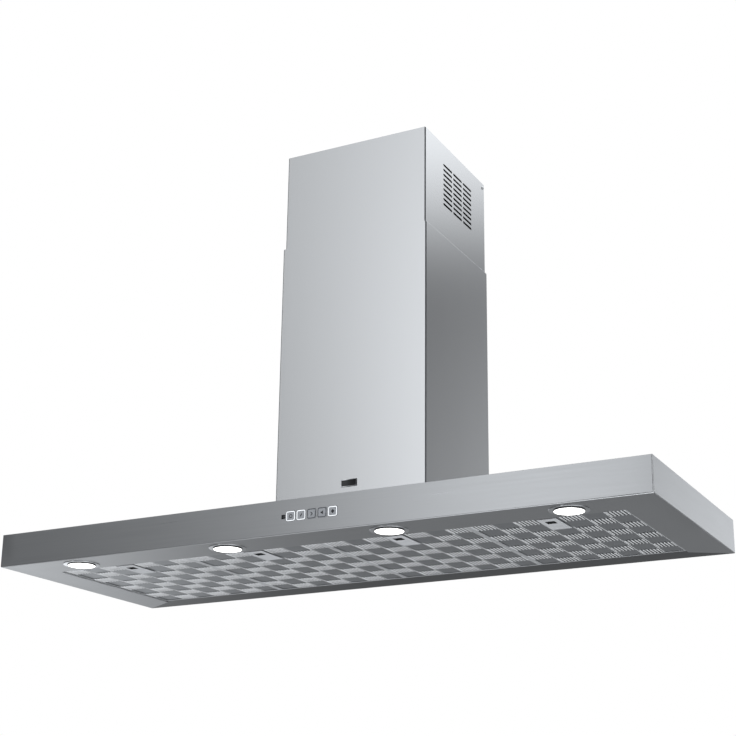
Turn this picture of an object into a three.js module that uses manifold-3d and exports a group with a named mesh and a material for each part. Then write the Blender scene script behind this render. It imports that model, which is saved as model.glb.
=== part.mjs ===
// A wall-mounted T-shaped range hood: a flat steel canopy with four lamps, four grease filters and a
// row of push buttons, a two-part telescoping chimney flush with the wall, and the blower inside it.
// Millimetres, +Z up. The origin is on the wall, halfway along the canopy, level with its underside.
// X runs along the canopy, and -Y points from the wall into the room.
import * as THREE from "three";
import { mergeVertices } from "three/addons/utils/BufferGeometryUtils.js";
import Module from "manifold-3d";

const wasm = await Module();
wasm.setup();

// ---------- driving dimensions ----------
const SHEET = 1; // steel sheet of the canopy, chimney and blower box
const GAP = 0.3; // air between two pieces that rest on each other
const PAST = 5; // how far a cutting tool runs past what it cuts
const ROUND = 24; // sides of a lamp-sized circle
const WIDE_ROUND = 32; // sides of a duct-sized circle

const CANOPY = { width: 1200, depth: 450, height: 58 };
const OPENING = { front: 80, side: 69, rear: 42, lip: 3.4 }; // strips round the filter opening, lip height
const REAR_STRIP_RISE = 4; // how far the rear strip climbs from the wall to the filters

const LAMP = { pitch: 303, from_front: 43, lens: 24.5, collar: 2, flange: 31.5, proud: 3, depth: 28 };
const LAMP_COUNT = 4;
const FLANGE_THICK = 0.8; // lamp trim flange under the canopy

const FILTER_COUNT = 4;
const FILTER = { height: 8.7, lift: 2.3, wall: 1.6, play: 2, between: 1.2, screen: 0.8, pack: 3 };
const FILTER_LIP = 4; // inward lip under the filter frame, which carries the screen
const HOOK = { width: 30, reach: 8, thick: 1.2, from_side: 30 };
const LATCH = { width: 33, length: 70, thick: 1.2, from_edge: 9, pocket: 16, depth: 6.2, travel: 5 };
const TONGUE = { width: 20, thick: 1.4, end: 0.7 }; // end is the air left before the front strip

const KEY = { size: 16.6, between: 2.7, first_x: -4.8, height: 29.7, proud: 0.8, travel: 1.2, corner: 3 };
const KEY_COUNT = 5;
const WINDOW = { size: 6.5, from_key: 2.4 };
const KEY_PLAY = 0.3;
const CONTROL = { depth: 11.7, margin: 8, board: 1.6 };

const LOWER = { width: 296, depth: 268, top: 596 };
const UPPER = { width: 290, depth: 265, bottom: 350, top: 786 };
const RETURN = 11; // inward fold of the chimney sheet along the wall
const GRILLE = { rows: 9, columns: 3, slot: 40, slot_width: 4.6, row_pitch: 10, column_pitch: 43.5 };
const GRILLE_PLACE = { below_top: 42, from_wall: 126 };
const BADGE = { width: 31, height: 13, bottom: 122, thick: 1.2 };

const BRACKET = { height: 30, below_top: 3, ear: 19, thick: 1.3 };
const SCREW = { radius: 1.6, head: 3.2, head_thick: 1.4, length: 9, below_top: 10, from_wall: 8 };

const BOX = { width: 260, depth: 246, top: 330, inlet_margin: 10 };
const KEYHOLE = { x: 90, below_top: 34, big: 5, small: 2.8, rise: 9 };
const DUCT = { radius: 75, wall: 1.6, y: -123 };
const COLLAR = { height: 46, flange: 13, flange_thick: 2 };
const DAMPER = { rise: 22, pin: 2.4, from_axis: 3.2, thick: 1.2 };
const HOSE = { wall: 1.7, overlap: 20 };
const DEFLECTOR = { depth: 154, bottom: 662, top: 748, spigot: 26, wall: 1.5 };

const FAN_Z = 185;
const SCROLL = { half: 58, wall: 2, start: 86, end: 112, outlet_half: 75, outlet_from: 60, inlet: 62 };
const WHEEL = { radius: 78, blade: 8, half: 50, ring: 2, blades: 20, blade_thick: 1.2, disc: 2, hub: 12 };
const MOTOR = { radius: 44, gap_to_disc: 6 };
const SHAFT = 4;
const ARM = { thick: 2, width: 14, reach: 70, disc: 32 };
const TERMINAL = { width: 45, depth: 38, height: 26, from_side: 5 };
const GLAND = { radius: 8, height: 15 };

// ---------- colours ----------
const steel = (color, roughness) => new THREE.MeshStandardMaterial({ color, roughness, metalness: 1 });
const plastic = (color, roughness) => new THREE.MeshStandardMaterial({ color, roughness, metalness: 0 });
const brushedSteel = steel(0xb9bcc0, 0.32);
const filterSteel = steel(0x9a9da1, 0.4);
const galvanised = steel(0xa7abae, 0.5);
const chrome = steel(0xd8dadc, 0.12);
const foil = steel(0xc9ccd0, 0.35);
const lampWhite = new THREE.MeshStandardMaterial({ color: 0xffffff, emissive: 0xffffff, roughness: 0.3 });
const keyGrey = plastic(0x8f9399, 0.45);
const black = plastic(0x17181a, 0.35);
const greyPlastic = plastic(0x5b5f63, 0.55);
const boardGreen = plastic(0x1f5a3c, 0.6);

// ---------- solids ----------
function solidOf(geometry) {
  const bare = geometry.clone();
  bare.deleteAttribute("normal");
  bare.deleteAttribute("uv");
  const merged = mergeVertices(bare, 1e-4);
  return new wasm.Manifold(
    new wasm.Mesh({
      numProp: 3,
      vertProperties: merged.attributes.position.array,
      triVerts: new Uint32Array(merged.index.array),
    }),
  );
}

function geometryOf(solid) {
  const mesh = solid.getMesh();
  const geometry = new THREE.BufferGeometry();
  geometry.setAttribute("position", new THREE.BufferAttribute(mesh.vertProperties, 3));
  geometry.setIndex(new THREE.BufferAttribute(mesh.triVerts, 1));
  geometry.computeVertexNormals();
  return geometry;
}

// A block between two corners, each given as [low, high].
function block([x0, x1], [y0, y1], [z0, z1]) {
  const geometry = new THREE.BoxGeometry(x1 - x0, y1 - y0, z1 - z0);
  geometry.translate((x0 + x1) / 2, (y0 + y1) / 2, (z0 + z1) / 2);
  return solidOf(geometry);
}

// A disc or rod about an axis through (a, b), running from low to high along it.
function rod(axis, radius, [a, b], [low, high], sides = ROUND) {
  const geometry = new THREE.CylinderGeometry(radius, radius, high - low, sides);
  const middle = (low + high) / 2;
  if (axis === "x") {
    geometry.rotateZ(Math.PI / 2);
    geometry.translate(middle, a, b);
  } else {
    geometry.rotateX(Math.PI / 2);
    geometry.translate(a, b, middle);
  }
  return solidOf(geometry);
}

function tube(axis, outer, inner, at, [low, high], sides = ROUND) {
  return rod(axis, outer, at, [low, high], sides).subtract(rod(axis, inner, at, [low - PAST, high + PAST], sides));
}

// An outline in the YZ plane, carried along X from low to high.
function alongX(points, [low, high]) {
  const shape = new THREE.Shape(points.map(([y, z]) => new THREE.Vector2(y, z)));
  const geometry = new THREE.ExtrudeGeometry(shape, { depth: high - low, bevelEnabled: false });
  // The extrusion's x, y and z become the object's y, z and x.
  geometry.applyMatrix4(new THREE.Matrix4().set(0, 0, 1, low, 1, 0, 0, 0, 0, 1, 0, 0, 0, 0, 0, 1));
  return solidOf(geometry);
}

// An outline in the XY plane, carried up from low to high.
function alongZ(points, [low, high]) {
  const shape = new THREE.Shape(points.map(([x, y]) => new THREE.Vector2(x, y)));
  const geometry = new THREE.ExtrudeGeometry(shape, { depth: high - low, bevelEnabled: false });
  geometry.translate(0, 0, low);
  return solidOf(geometry);
}

// A square key or keyhole with rounded corners, seen from the front, running back from low to high in Y.
function roundedSquare(size, corner, [x, z], [low, high]) {
  const half = size / 2 - corner;
  const shape = new THREE.Shape();
  const steps = 4;
  for (let side = 0; side < 4; side++) {
    const turn = (side * Math.PI) / 2;
    const cx = half * Math.sign(Math.cos(turn + Math.PI / 4));
    const cz = half * Math.sign(Math.sin(turn + Math.PI / 4));
    for (let step = 0; step <= steps; step++) {
      const angle = turn + (step / steps) * (Math.PI / 2);
      const px = cx + corner * Math.cos(angle);
      const pz = cz + corner * Math.sin(angle);
      if (side === 0 && step === 0) shape.moveTo(px, pz);
      else shape.lineTo(px, pz);
    }
  }
  const geometry = new THREE.ExtrudeGeometry(shape, { depth: high - low, bevelEnabled: false });
  geometry.rotateX(Math.PI / 2);
  geometry.translate(x, high, z);
  return solidOf(geometry);
}

const joined = (...solids) => solids.reduce((a, b) => a.add(b));
const cut = (from, ...tools) => tools.reduce((a, b) => a.subtract(b), from);
const both = (make) => [make(-1), make(1)];

const hood = new THREE.Group();

function add(name, solid, material, parent = hood) {
  const mesh = new THREE.Mesh(geometryOf(solid), material);
  mesh.name = name;
  parent.add(mesh);
  return mesh;
}

// ---------- places shared by several pieces ----------
const halfWidth = CANOPY.width / 2;
const front = -CANOPY.depth;
const openX = halfWidth - OPENING.side;
const openFront = front + OPENING.front;
const openRear = -OPENING.rear;
// The rear ends of the side strips are mitred from the opening's corner to the canopy's inner corner.
const mitreX = (y) => openX + ((halfWidth - SHEET - openX) * Math.min(y - openRear, OPENING.rear)) / OPENING.rear;
const MITRE_GAP = 2 * GAP;
const lampY = front + LAMP.from_front;
const lampHole = LAMP.lens + GAP + LAMP.collar + GAP;
const lampXs = Array.from({ length: LAMP_COUNT }, (_, i) => (i - (LAMP_COUNT - 1) / 2) * LAMP.pitch);
const keyXs = Array.from({ length: KEY_COUNT }, (_, i) => KEY.first_x + i * (KEY.size + KEY.between));
const windowX = KEY.first_x - KEY.size / 2 - WINDOW.from_key - WINDOW.size / 2;
const topInside = CANOPY.height - SHEET;
const chimneyFoot = CANOPY.height + GAP;
const boxRear = DUCT.y + BOX.depth / 2;
const boxFront = DUCT.y - BOX.depth / 2;

// ---------- canopy ----------
// Front, sides and the underside's front and side strips are one folded sheet, with a lip turned up
// round the filter opening. The rear ends of the side strips are mitred.
function canopyShell() {
  const outer = block([-halfWidth, halfWidth], [front, 0], [0, CANOPY.height]);
  const hollow = block([-halfWidth + SHEET, halfWidth - SHEET], [front + SHEET, PAST], [SHEET, CANOPY.height + PAST]);
  const filterOpening = block([-openX, openX], [openFront, PAST], [-PAST, OPENING.lip + PAST]);
  const rearMitre = alongZ(
    [
      [-mitreX(PAST), PAST],
      [-mitreX(0), 0],
      [-openX, openRear],
      [openX, openRear],
      [mitreX(0), 0],
      [mitreX(PAST), PAST],
    ],
    [-PAST, SHEET + PAST],
  );
  const lipZ = [0, OPENING.lip];
  const lip = block([-openX - SHEET, openX + SHEET], [openFront - SHEET, openRear], lipZ);
  const backPlateRoom = block(
    [-halfWidth + SHEET, halfWidth - SHEET],
    [-SHEET - GAP, PAST],
    [-PAST, SHEET + PAST],
  );
  const lampHoles = lampXs.map((x) => rod("z", lampHole, [x, lampY], [-PAST, SHEET + PAST]));
  const keyHoles = keyXs.map((x) =>
    roundedSquare(KEY.size + 2 * KEY_PLAY, KEY.corner, [x, KEY.height], [front - PAST, front + SHEET + PAST]),
  );
  const halfWindow = WINDOW.size / 2 + KEY_PLAY;
  const windowHole = block(
    [windowX - halfWindow, windowX + halfWindow],
    [front - PAST, front + SHEET + PAST],
    [KEY.height - halfWindow, KEY.height + halfWindow],
  );
  const folded = joined(cut(outer, hollow), lip);
  return cut(folded, filterOpening, rearMitre, backPlateRoom, ...lampHoles, ...keyHoles, windowHole);
}

// The lid of the canopy, with the opening through which the blower draws.
function topPanel() {
  const x = halfWidth - SHEET - GAP;
  const lid = block([-x, x], [front + SHEET + GAP, -SHEET - GAP], [topInside, CANOPY.height]);
  const inletX = BOX.width / 2 - BOX.inlet_margin;
  const inlet = block(
    [-inletX, inletX],
    [boxFront + BOX.inlet_margin, boxRear - BOX.inlet_margin],
    [topInside - PAST, CANOPY.height + PAST],
  );
  return cut(lid, inlet);
}

// The wall side of the canopy: an upright plate whose foot folds forward into the sloping rear strip.
function backPanel() {
  const x = halfWidth - SHEET - GAP;
  const plate = block([-x, x], [-SHEET, 0], [0, CANOPY.height]);
  const slope = alongX(
    [
      [0, 0],
      [openRear, REAR_STRIP_RISE],
      [openRear, REAR_STRIP_RISE + SHEET],
      [0, SHEET],
    ],
    [-x, x],
  );
  // The strip's ends follow the mitre, a gap away from the side strips.
  const mitred = alongZ(
    [
      [-mitreX(0) + MITRE_GAP, 0],
      [-openX + MITRE_GAP, openRear],
      [openX - MITRE_GAP, openRear],
      [mitreX(0) - MITRE_GAP, 0],
    ],
    [-PAST, REAR_STRIP_RISE + SHEET + PAST],
  );
  return joined(plate, slope.intersect(mitred));
}

add("canopy_shell", canopyShell(), brushedSteel);
add("top_panel", topPanel(), brushedSteel);
add("back_panel", backPanel(), galvanised);

// ---------- lamps ----------
// Each lamp is made about its own axis: an opal lens standing proud, a chromed trim and a housing above.
function lampLens() {
  return rod("z", LAMP.lens, [0, 0], [-LAMP.proud, SHEET]);
}

function lampTrim() {
  const inner = LAMP.lens + GAP;
  const collar = tube("z", inner + LAMP.collar, inner, [0, 0], [-LAMP.proud + GAP, SHEET]);
  const flange = tube("z", LAMP.flange, inner, [0, 0], [-GAP - FLANGE_THICK, -GAP]);
  return joined(collar, flange);
}

function lampHousing() {
  const base = SHEET + GAP;
  const seat = rod("z", lampHole + LAMP.collar, [0, 0], [base, base + LAMP.collar]);
  const can = rod("z", lampHole - LAMP.collar, [0, 0], [base, base + LAMP.depth]);
  return joined(seat, can);
}

lampXs.forEach((x, i) => {
  const lamp = new THREE.Group();
  lamp.position.set(x, lampY, 0);
  hood.add(lamp);
  add(`lamp_lens_${i + 1}`, lampLens(), lampWhite, lamp);
  add(`lamp_trim_${i + 1}`, lampTrim(), chrome, lamp);
  add(`lamp_housing_${i + 1}`, lampHousing(), galvanised, lamp);
});

// ---------- filters ----------
const filterPitch = (2 * openX) / FILTER_COUNT;
const filterHalf = (filterPitch - FILTER.between) / 2;
const filterFront = openFront + FILTER.play;
const filterRear = openRear - FILTER.play;
const filterTop = FILTER.lift + FILTER.height;
const screenBottom = FILTER.lift + SHEET / 2;
const screenTop = screenBottom + FILTER.screen;
const latchFront = filterFront + LATCH.from_edge;
const latchBottom = screenBottom - GAP - LATCH.thick;
const pocketHalf = LATCH.pocket / 2;
const pocketFront = latchFront + LATCH.length / 5;
const pocketWall = 1.4;
const pocketTop = latchBottom + LATCH.depth + pocketWall;
const tongueBottom = screenTop + GAP;
const well = { x: pocketHalf + pocketWall + GAP, front: pocketFront - pocketWall - GAP };
well.rear = pocketFront + LATCH.pocket + pocketWall + LATCH.travel + GAP;

// A channel frame with a lip underneath, two hooks at the wall side and a slot for the latch's tongue.
function filterFrame() {
  const rim = block([-filterHalf, filterHalf], [filterFront, filterRear], [FILTER.lift, filterTop]);
  const inside = block(
    [-filterHalf + FILTER.wall, filterHalf - FILTER.wall],
    [filterFront + FILTER.wall, filterRear - FILTER.wall],
    [screenBottom - GAP, filterTop + PAST],
  );
  const lipOpening = block(
    [-filterHalf + FILTER_LIP, filterHalf - FILTER_LIP],
    [filterFront + FILTER_LIP, filterRear - FILTER_LIP],
    [FILTER.lift - PAST, filterTop],
  );
  const slotHalf = TONGUE.width / 2 + GAP;
  const tongueSlot = block(
    [-slotHalf, slotHalf],
    [filterFront - PAST, filterFront + FILTER.wall + PAST],
    [tongueBottom - GAP, tongueBottom + TONGUE.thick + GAP],
  );
  const hookBottom = REAR_STRIP_RISE + SHEET + GAP;
  const hooks = both((side) => {
    const x = side * (filterHalf - HOOK.from_side);
    return block(
      [x - HOOK.width / 2, x + HOOK.width / 2],
      [filterRear - FILTER.wall / 2, openRear + HOOK.reach],
      [hookBottom, hookBottom + HOOK.thick],
    );
  });
  return joined(cut(rim, inside, lipOpening, tongueSlot), ...hooks);
}

const wellBlock = (z0, z1) => block([-well.x, well.x], [well.front, well.rear], [z0, z1]);

// The pressed steel face of the filter, with a hole for the latch's finger pocket.
function filterScreen() {
  const inset = FILTER.wall + GAP;
  const sheet = block(
    [-filterHalf + inset, filterHalf - inset],
    [filterFront + inset, filterRear - inset],
    [screenBottom, screenTop],
  );
  return cut(sheet, wellBlock(screenBottom - PAST, screenTop + PAST));
}

// The pack of mesh layers over the face, with room for the latch and its tongue.
function filterMesh() {
  const inset = FILTER.wall + GAP;
  const pack = block(
    [-filterHalf + inset, filterHalf - inset],
    [filterFront + inset, filterRear - inset],
    [screenTop + GAP, screenTop + GAP + FILTER.pack],
  );
  const channelHalf = TONGUE.width / 2 + GAP;
  const channel = block(
    [-channelHalf, channelHalf],
    [filterFront - PAST, well.front + LATCH.travel + PAST],
    [screenTop, tongueBottom + TONGUE.thick + GAP],
  );
  return cut(pack, wellBlock(screenTop - PAST, filterTop + PAST), channel);
}

// A sliding plate with a finger pocket, and a tongue at the front that reaches out of the frame.
function filterLatch() {
  const plate = block(
    [-LATCH.width / 2, LATCH.width / 2],
    [latchFront, latchFront + LATCH.length],
    [latchBottom, latchBottom + LATCH.thick],
  );
  const outer = block(
    [-pocketHalf - pocketWall, pocketHalf + pocketWall],
    [pocketFront - pocketWall, pocketFront + LATCH.pocket + pocketWall],
    [latchBottom, pocketTop],
  );
  const pocket = block(
    [-pocketHalf, pocketHalf],
    [pocketFront, pocketFront + LATCH.pocket],
    [latchBottom - PAST, latchBottom + LATCH.depth],
  );
  const tongue = block(
    [-TONGUE.width / 2, TONGUE.width / 2],
    [openFront + TONGUE.end, pocketFront - pocketWall / 2],
    [tongueBottom, tongueBottom + TONGUE.thick],
  );
  return joined(cut(joined(plate, outer), pocket), tongue);
}

for (let i = 0; i < FILTER_COUNT; i++) {
  const filter = new THREE.Group();
  filter.position.x = (i - (FILTER_COUNT - 1) / 2) * filterPitch;
  hood.add(filter);
  add(`filter_frame_${i + 1}`, filterFrame(), filterSteel, filter);
  add(`filter_screen_${i + 1}`, filterScreen(), filterSteel, filter);
  add(`filter_mesh_${i + 1}`, filterMesh(), galvanised, filter);
  add(`filter_latch_${i + 1}`, filterLatch(), chrome, filter);
}

// ---------- controls ----------
const controlFront = front + SHEET + GAP;
const controlBack = controlFront + CONTROL.depth;

function pushButton() {
  return roundedSquare(KEY.size, KEY.corner - KEY_PLAY, [0, 0], [front - KEY.proud, controlBack - KEY.travel]);
}

function indicatorWindow() {
  const half = WINDOW.size / 2;
  return block([-half, half], [front - GAP, controlBack - KEY.travel], [-half, half]);
}

const controlLeft = windowX - CONTROL.margin;
const controlRight = keyXs[KEY_COUNT - 1] + KEY.size / 2 + CONTROL.margin;
const controlHalfHeight = KEY.size / 2 + CONTROL.margin;

// The block behind the front sheet that guides the buttons.
function controlHousing() {
  const body = block(
    [controlLeft, controlRight],
    [controlFront, controlBack],
    [KEY.height - controlHalfHeight, KEY.height + controlHalfHeight],
  );
  const guides = keyXs.map((x) =>
    roundedSquare(KEY.size + 2 * KEY_PLAY, KEY.corner, [x, KEY.height], [controlFront - PAST, controlBack + PAST]),
  );
  const halfWindow = WINDOW.size / 2 + KEY_PLAY;
  const windowSeat = block(
    [windowX - halfWindow, windowX + halfWindow],
    [controlFront - PAST, controlBack + PAST],
    [KEY.height - halfWindow, KEY.height + halfWindow],
  );
  return cut(body, ...guides, windowSeat);
}

function controlBoard() {
  const back = controlBack + GAP;
  return block(
    [controlLeft, controlRight],
    [back, back + CONTROL.board],
    [KEY.height - controlHalfHeight, KEY.height + controlHalfHeight],
  );
}

keyXs.forEach((x, i) => add(`push_button_${i + 1}`, pushButton(), keyGrey).position.set(x, 0, KEY.height));
add("indicator_window", indicatorWindow(), black).position.set(windowX, 0, KEY.height);
add("control_housing", controlHousing(), black);
add("control_board", controlBoard(), boardGreen);

// ---------- chimney ----------
// A sleeve of folded sheet: front, two sides and a narrow return along the wall on each side.
function sleeve({ width, depth }, rear, bottom, top) {
  const x = width / 2;
  const outer = block([-x, x], [-depth, rear], [bottom, top]);
  const hollow = block([-x + SHEET, x - SHEET], [-depth + SHEET, rear - SHEET], [bottom - PAST, top + PAST]);
  const back = block([-x + RETURN, x - RETURN], [rear - SHEET - PAST, rear + PAST], [bottom - PAST, top + PAST]);
  return cut(outer, hollow, back);
}

// One row-by-column field of round-ended air slots, running through both sides of the sleeve.
function grilleSlots() {
  const slots = [];
  const end = GRILLE.slot_width / 2;
  const straight = GRILLE.slot / 2 - end;
  const steps = 2;
  for (let row = 0; row < GRILLE.rows; row++) {
    for (let column = 0; column < GRILLE.columns; column++) {
      const y = -GRILLE_PLACE.from_wall + (column - (GRILLE.columns - 1) / 2) * GRILLE.column_pitch;
      const z = UPPER.top - GRILLE_PLACE.below_top - row * GRILLE.row_pitch;
      const outline = [];
      for (const side of [1, -1]) {
        for (let step = 0; step <= steps; step++) {
          const angle = -Math.PI / 2 + (step / steps) * Math.PI;
          outline.push([y + side * (straight + end * Math.cos(angle)), z + side * end * Math.sin(angle)]);
        }
      }
      slots.push(alongX(outline, [-UPPER.width / 2 - PAST, UPPER.width / 2 + PAST]));
    }
  }
  return slots;
}

// The upper sleeve's returns run just in front of the lower sleeve's.
const upperRear = -SHEET - GAP;
const screwAt = [-SCREW.from_wall, UPPER.top - SCREW.below_top];
const screwHole = rod("x", SCREW.radius + GAP, screwAt, [-UPPER.width, UPPER.width], 12);

function upperChimney() {
  return cut(sleeve(UPPER, upperRear, UPPER.bottom, UPPER.top), ...grilleSlots(), screwHole);
}

// A wall strip with an ear at each end, to which the upper chimney is screwed.
function chimneyBracket() {
  const top = UPPER.top - BRACKET.below_top;
  const z = [top - BRACKET.height, top];
  const earOut = UPPER.width / 2 - SHEET - GAP;
  const plateHalf = UPPER.width / 2 - RETURN - GAP;
  const behind = upperRear - SHEET - GAP;
  const plate = block([-plateHalf, plateHalf], [behind - BRACKET.thick, 0], z);
  const strip = block([-earOut, earOut], [behind - BRACKET.thick, behind], z);
  const ears = both((side) => {
    const x = [side * earOut, side * (earOut - BRACKET.thick)].sort((a, b) => a - b);
    return block(x, [-BRACKET.ear, behind], z);
  });
  return cut(joined(plate, strip, ...ears), screwHole);
}

function chimneyScrew(side) {
  const seat = UPPER.width / 2 + GAP;
  const span = (from, to) => [side * from, side * to].sort((a, b) => a - b);
  const shank = rod("x", SCREW.radius, screwAt, span(seat - SCREW.length, seat + SCREW.head_thick / 2), 12);
  const head = rod("x", SCREW.head, screwAt, span(seat, seat + SCREW.head_thick), 20);
  return joined(shank, head);
}

function badge() {
  const face = -LOWER.depth - GAP;
  return block([-BADGE.width / 2, BADGE.width / 2], [face - BADGE.thick, face], [BADGE.bottom, BADGE.bottom + BADGE.height]);
}

add("lower_chimney", sleeve(LOWER, 0, chimneyFoot, LOWER.top), brushedSteel);
add("upper_chimney", upperChimney(), brushedSteel);
add("chimney_bracket", chimneyBracket(), galvanised);
add("chimney_screw_left", chimneyScrew(-1), chrome);
add("chimney_screw_right", chimneyScrew(1), chrome);
add("badge_plate", badge(), black);

// ---------- blower box and air path ----------
// A sheet box that hangs on the wall by two keyholes; it is open below and has a round outlet above.
function blowerBox() {
  const x = BOX.width / 2;
  const outer = block([-x, x], [boxFront, boxRear], [chimneyFoot, BOX.top]);
  const hollow = block([-x + SHEET, x - SHEET], [boxFront + SHEET, boxRear - SHEET], [chimneyFoot - PAST, BOX.top - SHEET]);
  const outlet = rod("z", DUCT.radius - DUCT.wall, [0, DUCT.y], [BOX.top - PAST, BOX.top + PAST], WIDE_ROUND);
  const keyholes = both((side) => {
    const at = side * KEYHOLE.x;
    const z = BOX.top - KEYHOLE.below_top;
    const across = (radius, height) => {
      const hole = new THREE.CylinderGeometry(radius, radius, 4 * PAST, 16);
      hole.translate(at, boxRear, height);
      return solidOf(hole);
    };
    const neck = block([at - KEYHOLE.small, at + KEYHOLE.small], [boxRear - 2 * PAST, boxRear + PAST], [z, z + KEYHOLE.rise]);
    return joined(across(KEYHOLE.big, z), across(KEYHOLE.small, z + KEYHOLE.rise), neck);
  });
  return cut(outer, hollow, outlet, ...keyholes);
}

const collarFoot = BOX.top + GAP;
const collarTop = collarFoot + COLLAR.height;
const damperZ = collarFoot + DAMPER.rise;
const spigotFoot = DEFLECTOR.bottom - DEFLECTOR.spigot;

function outletCollar() {
  const inner = DUCT.radius - DUCT.wall;
  const pipe = tube("z", DUCT.radius, inner, [0, DUCT.y], [collarFoot, collarTop], WIDE_ROUND);
  const flange = tube(
    "z",
    DUCT.radius + COLLAR.flange,
    inner,
    [0, DUCT.y],
    [collarFoot, collarFoot + COLLAR.flange_thick],
    WIDE_ROUND,
  );
  return joined(pipe, flange);
}

// One half of the butterfly damper: half a disc beside the pin it turns about.
function damperFlap(side) {
  const radius = DUCT.radius - DUCT.wall - 2 * GAP;
  const disc = rod("z", radius, [0, DUCT.y], [damperZ - DAMPER.thick / 2, damperZ + DAMPER.thick / 2], WIDE_ROUND);
  const reach = [DUCT.y + side * DAMPER.from_axis, DUCT.y + side * 2 * radius].sort((a, b) => a - b);
  return disc.intersect(block([-2 * radius, 2 * radius], reach, [damperZ - PAST, damperZ + PAST]));
}

function damperPin() {
  const reach = DUCT.radius - DUCT.wall - GAP;
  return rod("x", DAMPER.pin, [DUCT.y, damperZ], [-reach, reach], 12);
}

function flexHose() {
  const inner = DUCT.radius + GAP;
  const ends = [collarTop - HOSE.overlap, spigotFoot + HOSE.overlap];
  return tube("z", inner + HOSE.wall, inner, [0, DUCT.y], ends, WIDE_ROUND);
}

// A T piece that turns the rising air out through both side grilles of the upper chimney.
function airDeflector() {
  const x = UPPER.width / 2 - SHEET - 2 * GAP;
  const wall = DEFLECTOR.wall;
  const y = [DUCT.y - DEFLECTOR.depth / 2, DUCT.y + DEFLECTOR.depth / 2];
  const outer = block([-x, x], y, [DEFLECTOR.bottom, DEFLECTOR.top]);
  const hollow = block([-x - PAST, x + PAST], [y[0] + wall, y[1] - wall], [DEFLECTOR.bottom + wall, DEFLECTOR.top - wall]);
  const spigot = rod("z", DUCT.radius, [0, DUCT.y], [spigotFoot, DEFLECTOR.bottom + wall], WIDE_ROUND);
  const throat = rod("z", DUCT.radius - wall, [0, DUCT.y], [spigotFoot - PAST, DEFLECTOR.bottom + 2 * wall], WIDE_ROUND);
  return cut(joined(cut(outer, hollow), spigot), throat);
}

const terminalLeft = -BOX.width / 2 + TERMINAL.from_side;
const terminalFront = boxFront + TERMINAL.from_side;
const terminalTop = collarFoot + TERMINAL.height;

function terminalBox() {
  return block(
    [terminalLeft, terminalLeft + TERMINAL.width],
    [terminalFront, terminalFront + TERMINAL.depth],
    [collarFoot, terminalTop],
  );
}

function cableGland() {
  const at = [terminalLeft + TERMINAL.width / 2, terminalFront + TERMINAL.depth / 2];
  return tube("z", GLAND.radius, GLAND.radius / 2, at, [terminalTop + GAP, terminalTop + GAP + GLAND.height], 16);
}

add("blower_box", blowerBox(), galvanised);
add("outlet_collar", outletCollar(), greyPlastic);
add("damper_flap_front", damperFlap(-1), greyPlastic);
add("damper_flap_rear", damperFlap(1), greyPlastic);
add("damper_pin", damperPin(), chrome);
add("flex_hose", flexHose(), foil);
add("air_deflector", airDeflector(), greyPlastic);
add("terminal_box", terminalBox(), black);
add("cable_gland", cableGland(), black);

// ---------- blower ----------
// The volute's outline grows evenly round the fan; grow moves it in or out for the wall.
function volute(grow, half) {
  const steps = 32;
  const points = [];
  for (let step = 0; step <= steps; step++) {
    const share = step / steps;
    const angle = share * 2 * Math.PI;
    const radius = SCROLL.start + (SCROLL.end - SCROLL.start) * share + grow;
    points.push([DUCT.y + radius * Math.cos(angle), FAN_Z + radius * Math.sin(angle)]);
  }
  const outlet = SCROLL.outlet_half + grow;
  const spiral = alongX(points, [-half, half]);
  const chute = block([-half, half], [DUCT.y - outlet, DUCT.y + outlet], [FAN_Z + SCROLL.outlet_from, BOX.top - SHEET - GAP]);
  return joined(spiral, chute);
}

function scrollCasing() {
  const outer = volute(0, SCROLL.half);
  const inner = volute(-SCROLL.wall, SCROLL.half - SCROLL.wall);
  const inlets = rod("x", SCROLL.inlet, [DUCT.y, FAN_Z], [-SCROLL.half - PAST, SCROLL.half + PAST], WIDE_ROUND);
  const outletHalf = SCROLL.half - SCROLL.wall;
  const across = SCROLL.outlet_half - SCROLL.wall;
  const outlet = block([-outletHalf, outletHalf], [DUCT.y - across, DUCT.y + across], [BOX.top - 2 * PAST, BOX.top + PAST]);
  return cut(outer, inner, inlets, outlet);
}

// The casing is moulded in two halves that meet at the middle of the wheel.
function scrollHalf(side) {
  const reach = [side * (GAP / 2), side * (SCROLL.half + PAST)].sort((a, b) => a - b);
  const everything = [-CANOPY.width, CANOPY.width];
  return scrollCasing().intersect(block(reach, everything, everything));
}

// A double-inlet wheel: a middle disc with a hub, two end rings and a cage of straight blades.
function fanWheel() {
  const at = [DUCT.y, FAN_Z];
  const inner = WHEEL.radius - WHEEL.blade;
  const disc = rod("x", WHEEL.radius, at, [0, WHEEL.disc], WIDE_ROUND);
  const hub = rod("x", WHEEL.hub, at, [-WHEEL.disc, WHEEL.hub / 2], ROUND);
  const rings = both((side) => {
    const span = [side * (WHEEL.half - WHEEL.ring), side * WHEEL.half].sort((a, b) => a - b);
    return tube("x", WHEEL.radius, inner, at, span, WIDE_ROUND);
  });
  const blades = Array.from({ length: WHEEL.blades }, (_, i) => {
    const reach = WHEEL.half - WHEEL.ring / 2;
    const blade = new THREE.BoxGeometry(2 * reach, WHEEL.blade - SHEET, WHEEL.blade_thick);
    blade.translate(0, WHEEL.radius - WHEEL.blade / 2 - SHEET / 2, 0);
    blade.rotateX((i * 2 * Math.PI) / WHEEL.blades);
    blade.translate(0, DUCT.y, FAN_Z);
    return solidOf(blade);
  });
  const bore = rod("x", SHAFT + GAP, at, [-WHEEL.half, WHEEL.half], 16);
  return cut(joined(disc, hub, ...rings, ...blades), bore);
}

function motorBody() {
  return rod("x", MOTOR.radius, [DUCT.y, FAN_Z], [-SCROLL.half, -MOTOR.gap_to_disc], ROUND);
}

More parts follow.
